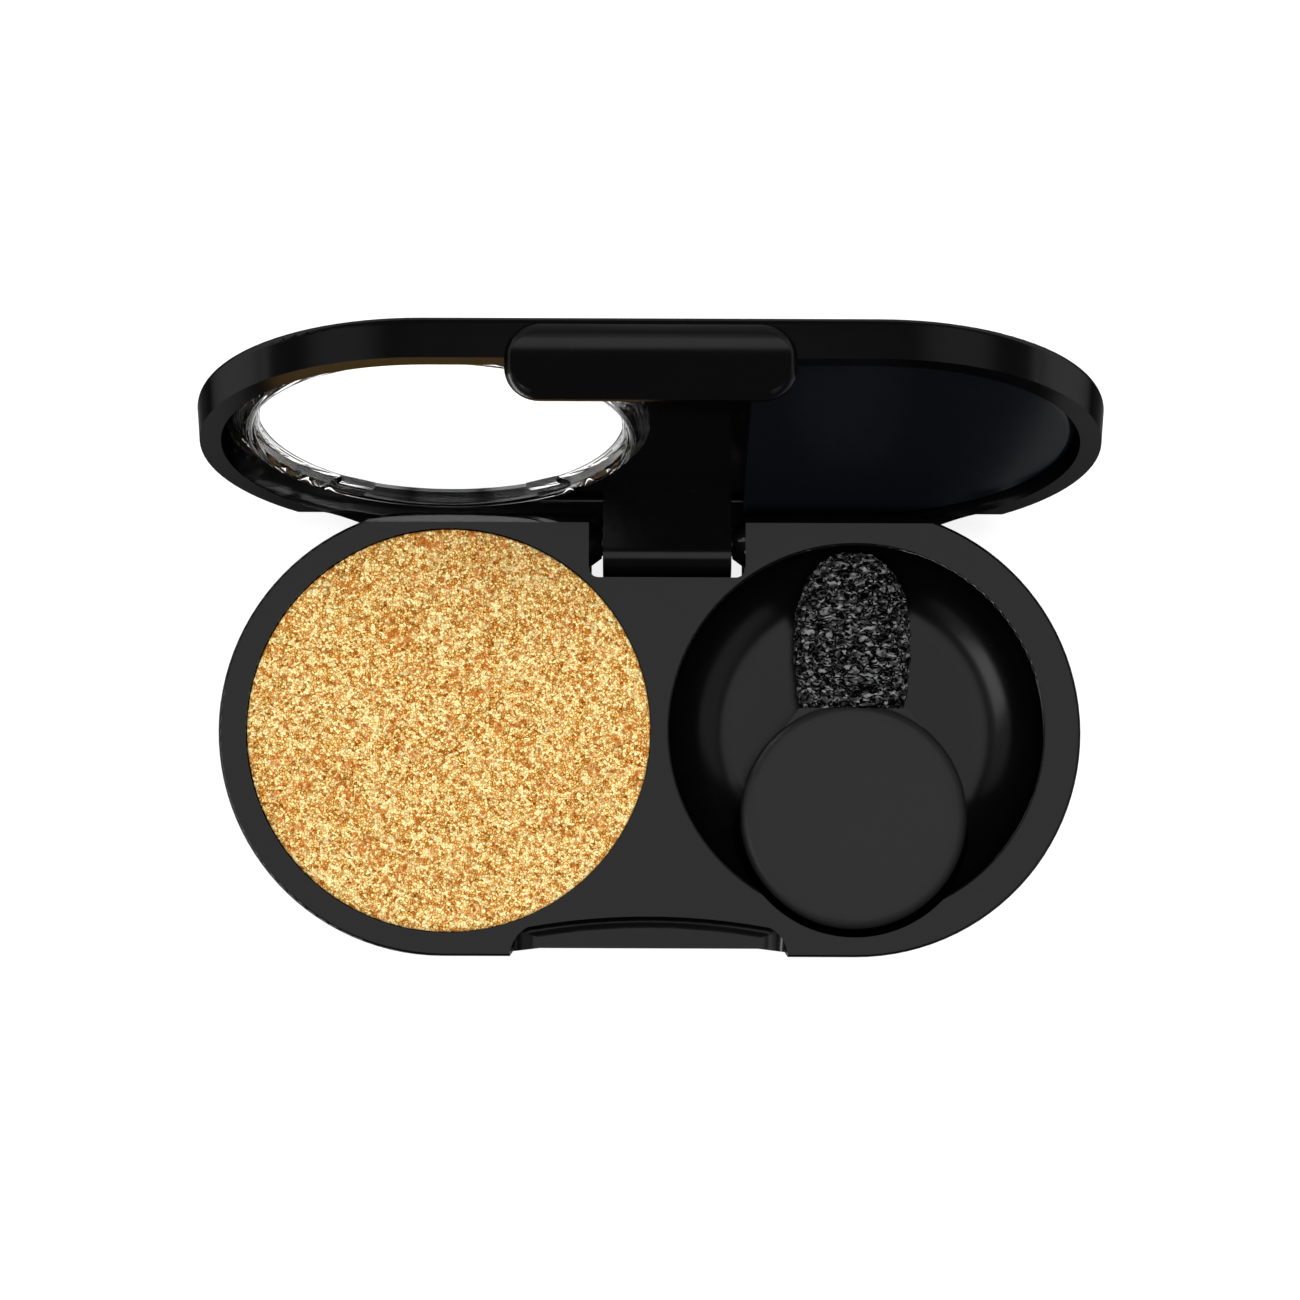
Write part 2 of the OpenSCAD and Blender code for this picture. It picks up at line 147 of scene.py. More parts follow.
# azimuth is from +X towards +Y, height is degrees above the horizon, sizes and distance in m
panels = {
    "leftFrontBox": {"azimuth": 201, "height": 46, "distance": 0.55, "size": (0.22, 0.26), "glow": 1.2},
    "lowStrip": {"azimuth": 215, "height": 5, "distance": 0.8, "size": (1.3, 0.13), "glow": 5,
                 "mirrorOnly": True},
    "keyLamp": {"azimuth": 50, "height": 72, "distance": 0.7, "size": (0.35, 0.35), "glow": 9.4,
                "hidden": True},
    "fillLamp": {"azimuth": 250, "height": 55, "distance": 0.7, "size": (0.6, 0.6), "glow": 2,
                 "hidden": True},
}


def buildWorld():
    world = bpy.data.worlds.new("softStudio")
    scene.world = world
    world.use_nodes = True
    tree = world.node_tree
    tree.nodes.clear()

    axes = addNode(tree, "SeparateXYZ", {0: addNode(tree, "TexCoord").outputs["Generated"]}).outputs
    up = axes["Z"]
    start, end = (cos(radians(a)) for a in studio["ceilingAngle"])
    ceiling = addNode(tree, "MapRange", {0: up, 1: end, 2: start, 3: studio["walls"], 4: studio["ceiling"]},
                      interpolation_type="SMOOTHSTEP").outputs[0]
    aside = addNode(tree, "Math", {0: axes["X"]}, operation="ABSOLUTE").outputs[0]
    low, high = studio["sideSpread"]
    outward = addNode(tree, "MapRange", {0: aside, 1: low, 2: high, 4: studio["side"]},
                      interpolation_type="SMOOTHSTEP").outputs[0]
    low, high = studio["sideHeight"]
    raised = addNode(tree, "MapRange", {0: up, 1: low, 2: high}, interpolation_type="SMOOTHSTEP").outputs[0]
    side = addNode(tree, "Math", {0: outward, 1: raised}, operation="MULTIPLY").outputs[0]
    low, high = (sin(radians(a)) for a in studio["horizonAngle"])
    horizon = addNode(tree, "MapRange", {0: up, 1: high, 2: low, 4: studio["horizon"]},
                      interpolation_type="SMOOTHSTEP").outputs[0]
    low, high = (sin(radians(a)) for a in studio["farAngle"])
    paths = addNode(tree, "LightPath").outputs
    far = addNode(tree, "MapRange", {0: up, 1: high, 2: low, 4: studio["throughGain"]},
                  interpolation_type="SMOOTHSTEP").outputs[0]
    through = addNode(tree, "Math", {0: far, 1: paths["Is Transmission Ray"]},
                      operation="MULTIPLY").outputs[0]
    glow = paths["Is Camera Ray"]
    for share in (ceiling, side, horizon, through):
        glow = addNode(tree, "Math", {0: glow, 1: share}, operation="MAXIMUM").outputs[0]
    background = addNode(tree, "Background", {"Color": glow})
    addNode(tree, "OutputWorld", {"Surface": background.outputs[0]})


def buildPanels():
    for name, panel in panels.items():
        width, height = panel["size"]
        data = bpy.data.lights.new(name, "AREA")
        data.shape = "RECTANGLE"
        data.size = width
        data.size_y = height
        data.energy = panel["glow"] * pi * width * height
        lamp = bpy.data.objects.new(name, data)
        scene.collection.objects.link(lamp)
        turn, rise = radians(panel["azimuth"]), radians(panel["height"])
        out = Vector((cos(turn) * cos(rise), sin(turn) * cos(rise), sin(rise)))
        lamp.location = out * panel["distance"]
        lamp.rotation_mode = "QUATERNION"
        lamp.rotation_quaternion = (-out).to_track_quat("-Z", "Y")
        lamp.visible_camera = False
        lamp.visible_transmission = False
        lamp.visible_glossy = not panel.get("hidden")
        lamp.visible_diffuse = not panel.get("mirrorOnly")


def mattWhiteBoard():
    # matt white painted board: pure white in the open, with a soft contact shadow
    material, tree = newMaterial("mattWhiteBoard")
    paths = addNode(tree, "LightPath").outputs
    through = addNode(tree, "Math", {0: paths["Is Transmission Ray"], 1: studio["throughGain"]},
                      operation="MULTIPLY").outputs[0]
    seen = addNode(tree, "Math", {0: paths["Is Camera Ray"], 1: through}, operation="MAXIMUM").outputs[0]
    mirrored = addNode(tree, "Math", {0: paths["Is Glossy Ray"], 1: studio["floorMirror"]},
                       operation="MULTIPLY").outputs[0]
    seen = addNode(tree, "Math", {0: seen, 1: mirrored}, operation="MAXIMUM").outputs[0]
    coords = addNode(tree, "TexCoord").outputs["Object"]
    away = addNode(tree, "VectorMath", {0: coords}, operation="LENGTH").outputs["Value"]
    start, end = studio["floorFade"]
    near, far = studio["floorGlow"]
    white = addNode(tree, "MapRange", {0: away, 1: start, 2: end, 3: near, 4: far}).outputs[0]
    glow = addNode(tree, "Math", {0: seen, 1: white}, operation="MULTIPLY").outputs[0]
    board = addNode(tree, "BsdfDiffuse", {"Color": linearColour(studio["floorColour"])})
    light = addNode(tree, "Emission", {"Strength": glow})
    lit = addNode(tree, "AddShader", {0: board.outputs[0], 1: light.outputs[0]})
    addNode(tree, "OutputMaterial", {"Surface": lit.outputs[0]})
    return material


def buildFloor():
    bm = bmesh.new()
    bmesh.ops.create_grid(bm, x_segments=1, y_segments=1, size=studio["floorSize"] / 2)
    bmesh.ops.translate(bm, verts=bm.verts, vec=(0, 0, -studio["floorDrop"] * mm))
    floor = meshObject("floor", bm)
    useMaterial(floor, mattWhiteBoard())


buildWorld()
buildPanels()
buildFloor()
scene.view_settings.view_transform = "Standard"
print("studio built")


# Finishes of the mouldings
glossBlack = {
    "colour": "#060607",
    "ior": 1.54,
    "roughness": 0.1,
    "patchiness": (0.9, 1.12),     # the waves make it a little finer here and coarser there
    "waveSize": 7,                 # mm between the faint sink waves of a thin moulding
    "waveDepth": 0.002,
    "grainSize": 0.12,             # mm, the haze of the tool's polish, drawn coarser so that it shows
    "grainDepth": 0.0004,
    "slant": (0.3, 0.7),           # from this slant on, the fine haze of the surface dims its mirror
    "facePolish": 0.5,
    "slantPolish": 0.02,
    "depths": (5.4, 6.5),          # mm above the table: below this the tool was polished less
    "deepRoughness": 0.21,
}

lidBlack = {
    **glossBlack,
    "roughness": 0.17,
    "slantPolish": 0.001,
    "depths": None,
    "lip": ((24.05, 24.35), (34.2, 34.5)),    # y and z, mm: from here on the lip of the tab is left satin
    "lipRoughness": 0.55,
}
panelBlack = {**glossBlack, "colour": "#12151b", "roughness": 0.22, "depths": None}


def polishedAbs(name, look):
    # injection moulded black ABS from a polished tool: deep black, mirror-like, faint waves
    material, tree = newMaterial(name)
    coords = addNode(tree, "TexCoord").outputs["Object"]
    wave = addNode(tree, "TexNoise", {"Vector": coords, "Scale": perMetre(look["waveSize"]), "Detail": 1.0})
    grain = addNode(tree, "TexNoise", {"Vector": coords, "Scale": perMetre(look["grainSize"]),
                                       "Detail": 2.0})
    waves = addNode(tree, "Bump", {"Height": wave.outputs["Fac"], "Distance": look["waveDepth"] * mm,
                                   "Strength": 1.0})
    bump = addNode(tree, "Bump", {"Height": grain.outputs["Fac"], "Distance": look["grainDepth"] * mm,
                                  "Strength": 1.0, "Normal": waves.outputs[0]})
    rough = look["roughness"]
    if look["depths"]:
        low, high = (z * mm for z in look["depths"])
        height = addNode(tree, "SeparateXYZ", {0: coords}).outputs["Z"]
        rough = addNode(tree, "MapRange", {0: height, 1: low, 2: high, 3: look["deepRoughness"], 4: rough},
                        interpolation_type="SMOOTHSTEP").outputs[0]
    if look.get("lip"):
        place = addNode(tree, "SeparateXYZ", {0: coords}).outputs
        (back, backEnd), (rise, riseEnd) = look["lip"]
        behind = addNode(tree, "MapRange", {0: place["Y"], 1: back * mm, 2: backEnd * mm}).outputs[0]
        above = addNode(tree, "MapRange", {0: place["Z"], 1: rise * mm, 2: riseEnd * mm}).outputs[0]
        satin = addNode(tree, "Math", {0: behind, 1: above}, operation="MULTIPLY").outputs[0]
        rough = addNode(tree, "Mix", {"Factor": satin, 2: rough, 3: look["lipRoughness"]},
                        data_type="FLOAT").outputs[0]
    low, high = look["patchiness"]
    patchy = addNode(tree, "MapRange", {0: wave.outputs["Fac"], 1: noiseLow, 2: noiseHigh,
                                        3: low, 4: high}).outputs[0]
    rough = addNode(tree, "Math", {0: patchy, 1: rough}, operation="MULTIPLY").outputs[0]
    slant = addNode(tree, "LayerWeight", {"Blend": 0.5}).outputs["Facing"]
    low, high = look["slant"]
    polish = addNode(tree, "MapRange", {0: slant, 1: low, 2: high, 3: look["facePolish"],
                                        4: look["slantPolish"]}, interpolation_type="SMOOTHSTEP").outputs[0]
    shader = addNode(tree, "BsdfPrincipled", {
        "Base Color": linearColour(look["colour"]), "Roughness": rough, "IOR": look["ior"],
        "Specular IOR Level": polish, "Normal": bump.outputs[0]})
    addNode(tree, "OutputMaterial", {"Surface": shader.outputs[0]})
    return material


satinHandle = {
    "colour": "#1d1d1d",
    "ior": 1.49,
    "roughness": 0.42,
    "grainSize": 0.1,              # mm, the pits of a fine spark-eroded tool
    "grainDepth": 0.0012,
}


def satinPolypropylene(look):
    # moulded polypropylene from a fine spark-eroded tool: soft charcoal sheen, no clear reflection
    material, tree = newMaterial("satinPolypropylene")
    coords = addNode(tree, "TexCoord").outputs["Object"]
    grain = addNode(tree, "TexNoise", {"Vector": coords, "Scale": perMetre(look["grainSize"]),
                                       "Detail": 3.0})
    bump = addNode(tree, "Bump", {"Height": grain.outputs["Fac"], "Distance": look["grainDepth"] * mm,
                                  "Strength": 1.0})
    shader = addNode(tree, "BsdfPrincipled", {
        "Base Color": linearColour(look["colour"]), "Roughness": look["roughness"],
        "IOR": look["ior"], "Normal": bump.outputs[0]})
    addNode(tree, "OutputMaterial", {"Surface": shader.outputs[0]})
    return material


clearLens = {
    "colour": "#fdfdfd",
    "shadowTint": "#f4f6f8",
    "ior": 1.55,
    "roughness": 0.01,
    "lean": 13,                    # degrees that the open lid leans back
    "grooved": (12.9, 13.2),       # mm from its middle: from here on the rim has fine turned steps
    "groovePitch": 0.3,            # mm from one step to the next
    "grooveDepth": 0.05,
}


def clearStyrene(look):
    # clear moulded styrene window: colourless, glossy, bright only where it mirrors the studio
    material, tree = newMaterial("clearStyrene")
    low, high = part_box("lid_window")
    coords = addNode(tree, "TexCoord").outputs["Object"]
    centred = addNode(tree, "VectorMath", {0: coords, 1: (low + high) / 2}, operation="SUBTRACT").outputs[0]
    turned = addNode(tree, "Mapping", {
        "Vector": centred, "Rotation": (radians(90 - look["lean"]), 0, 0)}).outputs[0]
    flat = addNode(tree, "VectorMath", {0: turned, 1: (1, 1, 0)}, operation="MULTIPLY").outputs[0]
    away = addNode(tree, "VectorMath", {0: flat}, operation="LENGTH").outputs["Value"]
    start, end = (r * mm for r in look["grooved"])
    rim = addNode(tree, "MapRange", {0: away, 1: start, 2: end}).outputs[0]
    turns = addNode(tree, "Math", {0: away, 1: 2 * pi * perMetre(look["groovePitch"])},
                    operation="MULTIPLY")
    steps = addNode(tree, "Math", {0: turns.outputs[0]}, operation="SINE").outputs[0]
    steps = addNode(tree, "Math", {0: steps, 1: rim}, operation="MULTIPLY").outputs[0]
    grooves = addNode(tree, "Bump", {"Height": steps, "Distance": look["grooveDepth"] * mm})
    glass = addNode(tree, "BsdfPrincipled", {
        "Base Color": linearColour(look["colour"]), "Roughness": look["roughness"],
        "IOR": look["ior"], "Transmission Weight": 1.0, "Normal": grooves.outputs[0]})
    letThrough = addNode(tree, "BsdfTransparent", {"Color": linearColour(look["shadowTint"])})
    shadow = addNode(tree, "LightPath").outputs["Is Shadow Ray"]
    mixed = addNode(tree, "MixShader", {0: shadow, 1: glass.outputs[0], 2: letThrough.outputs[0]})
    addNode(tree, "OutputMaterial", {"Surface": mixed.outputs[0]})
    return material


powderLook = {
    "tones": [(0.0, "#8a450a"), (0.25, "#bd7322"), (0.5, "#e9b45a"), (0.75, "#ffe08e"), (1.0, "#fff6bc")],
    "contrast": (0.26, 0.76),      # the part of the mixed tone that is spread over the colours above
    "grainSize": 0.2,              # mm, drawn coarser than real mica so that it shows
    "paintedShadeReach": 0.2,               # how far in from a flake's edge its painted shade reaches
    "paintedShadeShare": 0.45,              # how much of the tone that painted edge shade decides
    "stirSize": 0.3,
    "jitter": 0.12,                # mm that the flakes are stirred
    "clumpSize": 0.75,             # mm, small crumbs of lighter and darker powder
    "clumpShare": 0.17,
    "patchSize": 5,                # mm, the slow change of tone over the cake
    "patchShare": 0.06,
    "rust": "#c0661a",             # the redder pigment between the flakes
    "rustSize": 1.0,               # mm
    "rustFrom": (0.515, 0.625),
    "rustStrength": 0.8,
    "flakeTilt": 0.5,
    "shinyFrom": (0.5, 0.7),       # the flakes past this shine in part like metal
    "shine": 0.4,
    "roughness": 0.4,
    "polish": 0.1,                 # pigment takes most of the clear sheen away
}


def pressedGoldMica(look):
    # pressed powder loaded with gold mica: matt ochre pigment between bright tilted flakes, each flake
    # darkened towards its edge by painted shade
    material, tree = newMaterial("pressedGoldMica")
    coords = addNode(tree, "TexCoord").outputs["Object"]
    stir = addNode(tree, "TexNoise", {"Vector": coords, "Scale": perMetre(look["stirSize"]),
                                      "Detail": 1.0}).outputs["Color"]
    stir = addNode(tree, "VectorMath", {0: stir, 1: (0.5, 0.5, 0.5)}, operation="SUBTRACT").outputs[0]
    stir = addNode(tree, "VectorMath", {0: stir, "Scale": 2 * look["jitter"] * mm},
                   operation="SCALE").outputs[0]
    stirred = addNode(tree, "VectorMath", {0: coords, 1: stir}, operation="ADD").outputs[0]
    scale = perMetre(look["grainSize"])
    flakes = addNode(tree, "TexVoronoi", {"Vector": stirred, "Scale": scale}).outputs["Color"]
    chance = addNode(tree, "SeparateColor", {0: flakes}).outputs
    # painted shade: each flake's colour darkens towards its edge, as if shade lay between the flakes
    rim = addNode(tree, "TexVoronoi", {"Vector": stirred, "Scale": scale}, feature="DISTANCE_TO_EDGE")
    lit = addNode(tree, "MapRange", {0: rim.outputs["Distance"], 2: look["paintedShadeReach"]}).outputs[0]
    clump = addNode(tree, "TexNoise", {
        "Vector": coords, "Scale": perMetre(look["clumpSize"]), "Detail": 4.0,
        "Roughness": 0.7, "Distortion": 0.6}).outputs["Fac"]
    clump = addNode(tree, "MapRange", {0: clump, 1: noiseLow, 2: noiseHigh}).outputs[0]
    patch = addNode(tree, "TexNoise", {"Vector": coords, "Scale": perMetre(look["patchSize"]),
                                       "Detail": 2.0}).outputs["Fac"]
    tone = addNode(tree, "Mix", {"Factor": look["paintedShadeShare"], 2: chance["Red"], 3: lit},
                   data_type="FLOAT").outputs[0]
    for share, cloud in ((look["clumpShare"], clump), (look["patchShare"], patch)):
        tone = addNode(tree, "Mix", {"Factor": share, 2: tone, 3: cloud}, data_type="FLOAT").outputs[0]
    low, high = look["contrast"]
    tone = addNode(tree, "MapRange", {0: tone, 1: low, 2: high}).outputs[0]
    ramp = addNode(tree, "ValToRGB", {0: tone})
    stops = ramp.color_ramp.elements
    stops[0].color = linearColour(look["tones"][0][1])
    stops[1].color = linearColour(look["tones"][-1][1])
    for place, colour in look["tones"][1:-1]:
        stops.new(place).color = linearColour(colour)
    rust = addNode(tree, "TexNoise", {
        "Vector": coords, "Scale": perMetre(look["rustSize"]), "Detail": 5.0,
        "Roughness": 0.72, "Distortion": 1.5}).outputs["Fac"]
    low, high = look["rustFrom"]
    rust = addNode(tree, "MapRange", {0: rust, 1: low, 2: high, 4: look["rustStrength"]},
                   interpolation_type="SMOOTHSTEP").outputs[0]
    colour = addNode(tree, "Mix", {"Factor": rust, 6: ramp.outputs[0], 7: linearColour(look["rust"])},
                     data_type="RGBA").outputs[2]
    tilt = addNode(tree, "VectorMath", {0: flakes, 1: (0.5, 0.5, 0.5)}, operation="SUBTRACT").outputs[0]
    tilt = addNode(tree, "VectorMath", {0: tilt, "Scale": look["flakeTilt"]}, operation="SCALE").outputs[0]
    surface = addNode(tree, "NewGeometry").outputs["Normal"]
    facing = addNode(tree, "VectorMath", {0: surface, 1: tilt}, operation="ADD").outputs[0]
    facing = addNode(tree, "VectorMath", {0: facing}, operation="NORMALIZE").outputs[0]
    low, high = look["shinyFrom"]
    shiny = addNode(tree, "MapRange", {0: chance["Green"], 1: low, 2: high, 4: look["shine"]}).outputs[0]
    shader = addNode(tree, "BsdfPrincipled", {
        "Base Color": colour, "Metallic": shiny, "Roughness": look["roughness"],
        "Specular IOR Level": look["polish"], "Normal": facing})
    addNode(tree, "OutputMaterial", {"Surface": shader.outputs[0]})
    return material


foamLook = {
    # from crease to ridge: painted shade in the creases and painted glints on the ridges of the black foam
    "tones": [(0.12, "#000000"), (0.4, "#131413"), (0.7, "#323332"), (0.97, "#7e807e")],
    "wrinkleSize": 0.5,            # mm between the wrinkles of the skin; its pores are too fine to show
    "crease": 0.09,                # half the width of a crease, as a share of the noise's range
    "creaseDepth": 0.1,            # mm
    "stretch": (0.72, 1.15, 1.0),  # the wrinkles run more across the tip than along it
    "shadeSize": 0.42,             # mm, ridges in the light beside others in the shade
    "shadeFrom": (0.35, 0.65),
    "shadeLeast": 0.5,             # how dark the shade makes a ridge
    "skinFrom": (0.1, 0.7),        # from a crease up to the skin
    "sheen": (0.05, 0.5),          # in the creases and on the skin
    "pitRoughness": 0.85,
    "skinRoughness": 0.3,
}


def blackLatexFoam(look):
    # fine latex foam with a wrinkled skin: painted shade blackens the creases, painted glints lighten the
    # bumps beside their soft sheen
    material, tree = newMaterial("blackLatexFoam")
    coords = addNode(tree, "TexCoord").outputs["Object"]
    coords = addNode(tree, "Mapping", {"Vector": coords, "Scale": look["stretch"]}).outputs[0]
    wrinkle = addNode(tree, "TexNoise", {
        "Vector": coords, "Scale": perMetre(look["wrinkleSize"]), "Detail": 2.5,
        "Roughness": 0.6, "Distortion": 0.7}).outputs["Fac"]
    fold = addNode(tree, "Math", {0: wrinkle, 1: 0.5}, operation="SUBTRACT").outputs[0]
    fold = addNode(tree, "Math", {0: fold}, operation="ABSOLUTE").outputs[0]
    ridges = addNode(tree, "MapRange", {0: fold, 2: look["crease"]},
                     interpolation_type="SMOOTHSTEP").outputs[0]
    bump = addNode(tree, "Bump", {"Height": ridges, "Distance": look["creaseDepth"] * mm, "Strength": 1.0})
    shade = addNode(tree, "TexNoise", {"Vector": coords, "Scale": perMetre(look["shadeSize"]),
                                       "Detail": 3.0}).outputs["Fac"]
    low, high = look["shadeFrom"]
    shade = addNode(tree, "MapRange", {0: shade, 1: low, 2: high, 3: look["shadeLeast"]}).outputs[0]
    # painted light and shade: the colour is lit on the ridges, shaded in the creases and in the patches of
    # shade
    tone = addNode(tree, "Math", {0: ridges, 1: shade}, operation="MULTIPLY").outputs[0]
    ramp = addNode(tree, "ValToRGB", {0: tone})
    stops = ramp.color_ramp.elements
    stops[0].position, stops[1].position = look["tones"][0][0], look["tones"][-1][0]
    stops[0].color = linearColour(look["tones"][0][1])
    stops[1].color = linearColour(look["tones"][-1][1])
    for place, colour in look["tones"][1:-1]:
        stops.new(place).color = linearColour(colour)
    low, high = look["skinFrom"]
    rough = addNode(tree, "MapRange", {0: ridges, 1: low, 2: high, 3: look["pitRoughness"],
                                       4: look["skinRoughness"]}).outputs[0]
    dull, bright = look["sheen"]
    sheen = addNode(tree, "MapRange", {0: ridges, 1: low, 2: high, 3: dull, 4: bright}).outputs[0]
    shader = addNode(tree, "BsdfPrincipled", {
        "Base Color": ramp.outputs[0], "Roughness": rough, "Specular IOR Level": sheen,
        "Normal": bump.outputs[0]})
    addNode(tree, "OutputMaterial", {"Surface": shader.outputs[0]})
    return material


panMetal = {
    "colour": "#d6d7da",
    "grainSize": 0.2,              # mm, the metal's grain, drawn coarser so that it shows
    "roughness": (0.28, 0.4),
}


def drawnAluminium(look):
    # thin drawn aluminium: pale grey, with a slightly uneven dull shine from the press
    material, tree = newMaterial("drawnAluminium")
    coords = addNode(tree, "TexCoord").outputs["Object"]
    grain = addNode(tree, "TexNoise", {"Vector": coords, "Scale": perMetre(look["grainSize"]),
                                       "Detail": 2.0}).outputs["Fac"]
    low, high = look["roughness"]
    rough = addNode(tree, "MapRange", {0: grain, 1: noiseLow, 2: noiseHigh, 3: low, 4: high}).outputs[0]
    shader = addNode(tree, "BsdfPrincipled", {
        "Base Color": linearColour(look["colour"]), "Metallic": 1.0, "Roughness": rough})
    addNode(tree, "OutputMaterial", {"Surface": shader.outputs[0]})
    return material


stickyTape = {
    "colour": "#dedcd2",
    "cloudSize": 1.5,              # mm between paler and clearer places
    "roughness": (0.45, 0.6),
}


def acrylicTape(look):
    # double-sided tape: milky, with a soft uneven sheen
    material, tree = newMaterial("acrylicTape")
    coords = addNode(tree, "TexCoord").outputs["Object"]
    cloud = addNode(tree, "TexNoise", {"Vector": coords, "Scale": perMetre(look["cloudSize"]),
                                       "Detail": 3.0}).outputs["Fac"]
    low, high = look["roughness"]
    rough = addNode(tree, "MapRange", {0: cloud, 1: noiseLow, 2: noiseHigh, 3: low, 4: high}).outputs[0]
    shader = addNode(tree, "BsdfPrincipled", {
        "Base Color": linearColour(look["colour"]), "Roughness": rough})
    addNode(tree, "OutputMaterial", {"Surface": shader.outputs[0]})
    return material


caseBlack = polishedAbs("polishedBlackAbs", glossBlack)
useMaterial(nodes["base_shell"], caseBlack)
useMaterial(nodes["bottom_cover"], caseBlack)
useMaterial(nodes["lid_shell"], polishedAbs("polishedLidAbs", lidBlack))
useMaterial(nodes["lid_inner_panel"], polishedAbs("bluishBlackAbs", panelBlack))
useMaterial(nodes["lid_window"], clearStyrene(clearLens))
useMaterial(nodes["applicator_handle"], satinPolypropylene(satinHandle))
useMaterial(nodes["powder_pan"], drawnAluminium(panMetal))
useMaterial(nodes["pan_adhesive"], acrylicTape(stickyTape))
print("finishes given to the mouldings")


# The pressed cake, which spreads over the rim of its pan
cake = {
    "rings": 150,
    "turns": 320,
    "panWall": 0.3,                # mm
    "rimRound": 0.12,              # mm, the crumbled edge
    "overlap": 0.06,               # mm that the cake spreads past the pan
    "unevenness": 0.035,           # mm, of the pressed face
    "unevenSize": 1.4,             # mm
    "fineness": 0.02,
    "fineSize": 0.4,
    "sink": 0.03,                  # mm that the face is pressed in
    "steady": 0.02,                # mm above the pan that stays as turned
    "fineShift": (7, 3, 1),        # takes the fine unevenness from another place in the noise
    "fadeHeight": 0.2,             # mm above the pan at which the unevenness is full
    "weld": 0.0005,                # mm, points nearer than this are made one
}


def makePowderCake():
    low, high = (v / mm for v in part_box("pressed_powder"))
    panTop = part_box("powder_pan")[1].z / mm
    radius = (high.x - low.x) / 2 + cake["overlap"]
    innerRadius = radius - cake["overlap"] - cake["panWall"]
    corner = cake["rimRound"]
    profile = [(radius - corner) * i / cake["rings"] for i in range(cake["rings"] + 1)]
    points = [(r, high.z) for r in profile]
    points += [(radius - corner + corner * sin(a), high.z - corner + corner * cos(a))
               for a in (radians(30), radians(60), radians(90))]
    points += [(radius, panTop), (innerRadius, panTop), (innerRadius, low.z), (0, low.z)]
    bm = bmesh.new()
    chain = [bm.verts.new((r, 0, z)) for r, z in points]
    edges = [bm.edges.new(pair) for pair in zip(chain, chain[1:])]
    bmesh.ops.spin(bm, geom=chain + edges, cent=(0, 0, 0), axis=(0, 0, 1), angle=2 * pi,
                   steps=cake["turns"], use_merge=True)
    bmesh.ops.remove_doubles(bm, verts=bm.verts, dist=cake["weld"])
    fade = min(1, (high.z - panTop) / cake["fadeHeight"])
    for vert in bm.verts:
        if vert.co.z > panTop + cake["steady"]:
            where = vert.co.copy()
            slow = noise.noise(where / cake["unevenSize"])
            fine = noise.noise(where / cake["fineSize"] + Vector(cake["fineShift"]))
            vert.co.z += (slow * cake["unevenness"] + fine * cake["fineness"]) * fade - cake["sink"]
    bmesh.ops.recalc_face_normals(bm, faces=bm.faces)
    centre = (low + high) / 2
    bmesh.ops.translate(bm, verts=bm.verts, vec=(centre.x, centre.y, 0))
    bmesh.ops.scale(bm, verts=bm.verts, vec=(mm, mm, mm))
    piece = meshObject("powderCake", bm)
    useMaterial(piece, pressedGoldMica(powderLook))
    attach(piece, "case")
    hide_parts("pressed_powder")


makePowderCake()
print("powder pressed")


# The foam tip, a bullet-shaped pad with a wrinkled skin
foam = {
    "halfWidth": 4.42,             # mm, at the widest place
    "neckHalfWidth": 3.95,
    "halfThickness": 1.75,
    "bluntness": 2.35,             # power of the bullet outline
    "rings": 220,
    "turns": 240,
    "lumpSize": 1.5,
    "lumpDepth": 0.07,
    "wrinkleSize": 0.42,
    "wrinkleDepth": 0.13,
    "finer": 2.3,                  # how much smaller the second set of wrinkles is
    "sink": 0.6,                   # share of the wrinkles' depth that the skin is let in
    "plainNeck": 0.4,              # mm of smooth skin at the flat end
    "height": 4.0,                 # mm from the table to the middle of the flat end
    "flatEnd": 0.14,               # share of the rings that close the flat end
    "crowding": 1.35,              # power that brings the rings together at the round end
    "widest": 0.42,                # share of its length at which it is widest
    "neckThickness": 0.9,          # share of the full thickness
    "squareness": 2.6,             # power of its oval section
    "curl": 1.1,                   # mm that the round end rises
    "curlFrom": 0.4,               # share of its length
    "curlPower": 1.5,
    "weld": 0.0002,                # mm
}


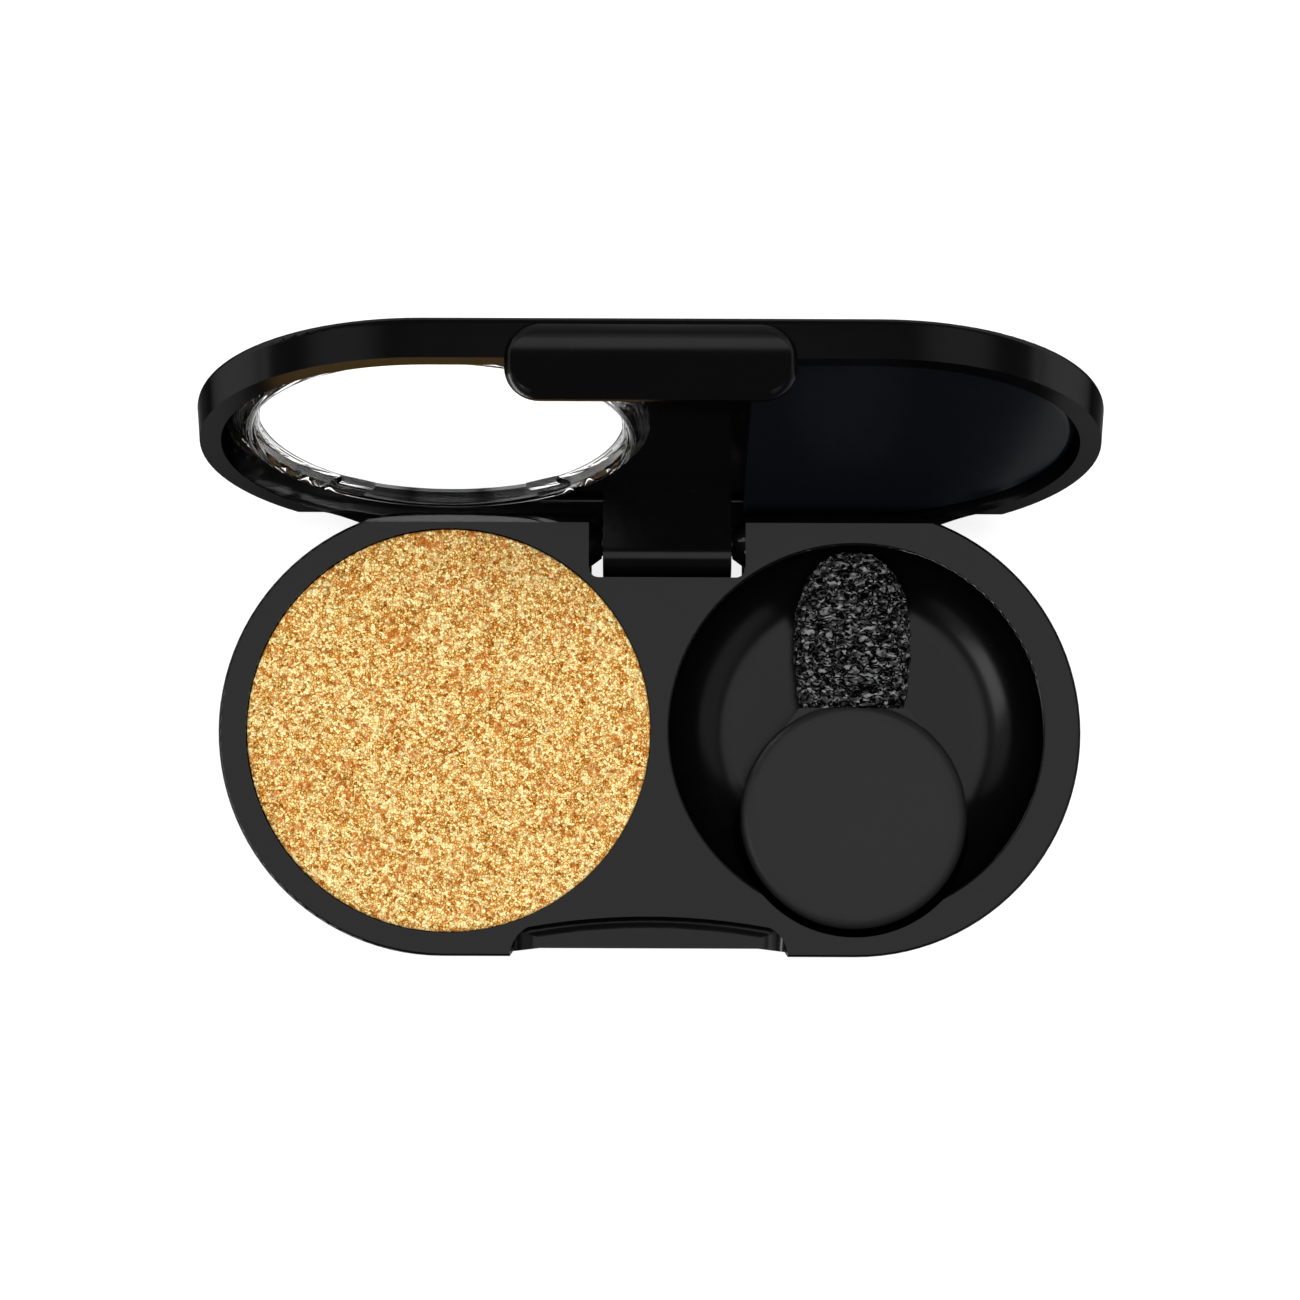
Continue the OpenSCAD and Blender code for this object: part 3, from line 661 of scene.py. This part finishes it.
def makeFoamTip():
    low, high = (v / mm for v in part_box("applicator_sponge"))
    length = high.y - low.y
    middle = Vector(((low.x + high.x) / 2, low.y, foam["height"]))
    bm = bmesh.new()
    bmesh.ops.create_uvsphere(bm, u_segments=foam["turns"], v_segments=foam["rings"], radius=1)
    bmesh.ops.rotate(bm, verts=bm.verts, cent=(0, 0, 0), matrix=Matrix.Rotation(pi / 2, 3, "X"))
    flatEnd = foam["flatEnd"]
    widest = foam["widest"]
    neck = foam["neckThickness"]
    square = foam["squareness"]
    for vert in bm.verts:
        share = acos(max(-1, min(1, -vert.co.y))) / pi
        across = Vector((vert.co.x, 0, vert.co.z))
        across = across.normalized() if across.length > 1e-6 else Vector((0, 0, 0))
        along = max(0, (share - flatEnd) / (1 - flatEnd))
        along = 1 - (1 - along) ** foam["crowding"]
        opening = min(1, share / flatEnd)
        if along < widest:
            swell = 1 - (1 - along / widest) ** 2
            width = foam["neckHalfWidth"] + (foam["halfWidth"] - foam["neckHalfWidth"]) * swell
            thick = foam["halfThickness"] * (neck + (1 - neck) * swell)
        else:
            past = (along - widest) / (1 - widest)
            taper = (1 - past ** foam["bluntness"]) ** (1 / foam["bluntness"])
            width = foam["halfWidth"] * taper
            thick = foam["halfThickness"] * taper
        curled = max(0, along - foam["curlFrom"]) / (1 - foam["curlFrom"])
        lift = foam["curl"] * curled ** foam["curlPower"]
        norm = (abs(across.x) ** square + abs(across.z) ** square) ** (1 / square) or 1
        vert.co = Vector((across.x / norm * width * opening, along * length,
                          across.z / norm * thick * opening + lift))
    bm.normal_update()
    for vert in bm.verts:
        where = vert.co
        lump = noise.noise(where / foam["lumpSize"])
        wrinkle = noise.noise(where / foam["wrinkleSize"])
        wrinkle += noise.noise(where * foam["finer"] / foam["wrinkleSize"]) / 2
        inside = min(1, where.y / foam["plainNeck"])
        swell = lump * foam["lumpDepth"] + (wrinkle - foam["sink"]) * foam["wrinkleDepth"]
        vert.co = where + vert.normal * inside * swell
    bmesh.ops.remove_doubles(bm, verts=bm.verts, dist=foam["weld"])
    bmesh.ops.recalc_face_normals(bm, faces=bm.faces)
    bmesh.ops.translate(bm, verts=bm.verts, vec=middle)
    bmesh.ops.scale(bm, verts=bm.verts, vec=(mm, mm, mm))
    piece = meshObject("foamTip", bm)
    useMaterial(piece, blackLatexFoam(foamLook))
    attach(piece, "applicator")
    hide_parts("applicator_sponge")


makeFoamTip()
print("foam tip made")
